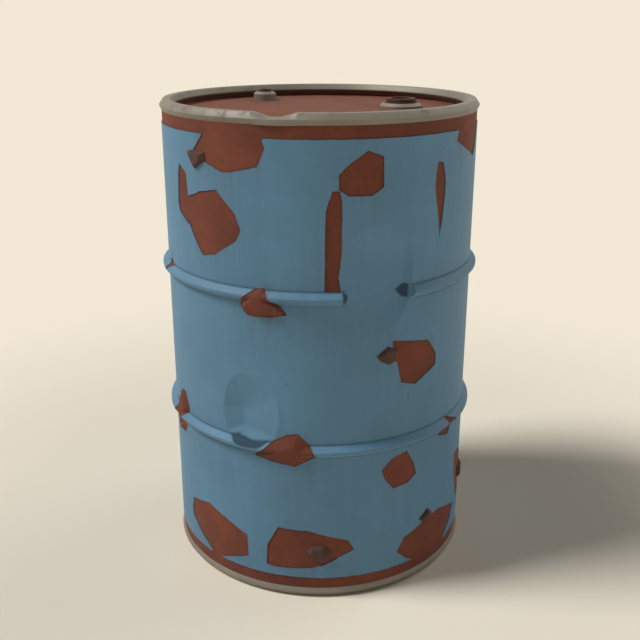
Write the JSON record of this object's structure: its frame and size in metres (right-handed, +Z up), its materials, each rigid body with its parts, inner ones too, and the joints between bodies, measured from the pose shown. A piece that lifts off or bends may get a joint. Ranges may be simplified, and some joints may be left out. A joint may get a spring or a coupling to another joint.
{
  "type": "oil barrel",
  "caption": "Rusty dented steel oil drum, closed at both ends, with two rolling hoops, rolled chime rings and two threaded bungs that screw out of the top head",
  "frame": {"origin": "on the floor at the middle of the bottom chime ring", "axes": "+Z up along the drum's axis; -Y is the front, where the two dents are; +X is to the right when it is seen from the front"},
  "size_m": [0.5958, 0.5958, 0.878],
  "materials": {
    "blue_paint": "dull weathered blue-grey paint, worn to rust in patches",
    "rusty_head": "matt red-brown rusted steel",
    "grey_chime": "dull grey weathered steel with rust in its corners",
    "sealing_compound": "dark seam sealing compound",
    "grey_flange": "dull grey weathered steel",
    "gasket": "black rubber",
    "rusty_plug": "dark brown rusted iron",
    "rust_scab": "dark brown lumpy rust scale"
  },
  "bodies": {
    "drum": {"body_shell": "blue_paint", "top_head": "rusty_head", "bottom_head": "rusty_head", "top_seam_compound": "sealing_compound", "bottom_seam_compound": "sealing_compound", "top_chime_ring": "grey_chime", "bottom_chime_ring": "grey_chime", "large_flange": "grey_flange", "large_flange_gasket": "gasket", "small_flange": "grey_flange", "small_flange_gasket": "gasket", "rust_scab_shoulder": "rust_scab", "rust_scab_waist": "rust_scab", "rust_scab_foot": "rust_scab", "rust_scab_corner": "rust_scab", "rust_scab_side": "rust_scab"},
    "large_gasket": {"large_plug_gasket": "gasket"},
    "large_plug": {"large_plug": "rusty_plug"},
    "small_gasket": {"small_plug_gasket": "gasket"},
    "small_plug": {"small_plug": "rusty_plug"}
  },
  "joints": [
    {"name": "large_lift", "type": "slide", "parent": "drum", "child": "large_gasket", "axis": [0, 0, 1], "range_m": [0, 0.0139]},
    {"name": "large_turn", "type": "hinge", "parent": "large_gasket", "child": "large_plug", "pos_m": [0.15197, 0.02701, 0.859], "axis": [0, 0, 1], "range_deg": [0, 2160]},
    {"name": "small_lift", "type": "slide", "parent": "drum", "child": "small_gasket", "axis": [0, 0, 1], "range_m": [0, 0.0123]},
    {"name": "small_turn", "type": "hinge", "parent": "small_gasket", "child": "small_plug", "pos_m": [-0.11, 0.169, 0.867], "axis": [0, 0, 1], "range_deg": [0, 2430]}
  ],
  "couplings": [
    {"joint": "large_lift", "follows": "large_turn", "m_per_rad": 0.00036749},
    {"joint": "small_lift", "follows": "small_turn", "m_per_rad": 0.00028871}
  ]
}
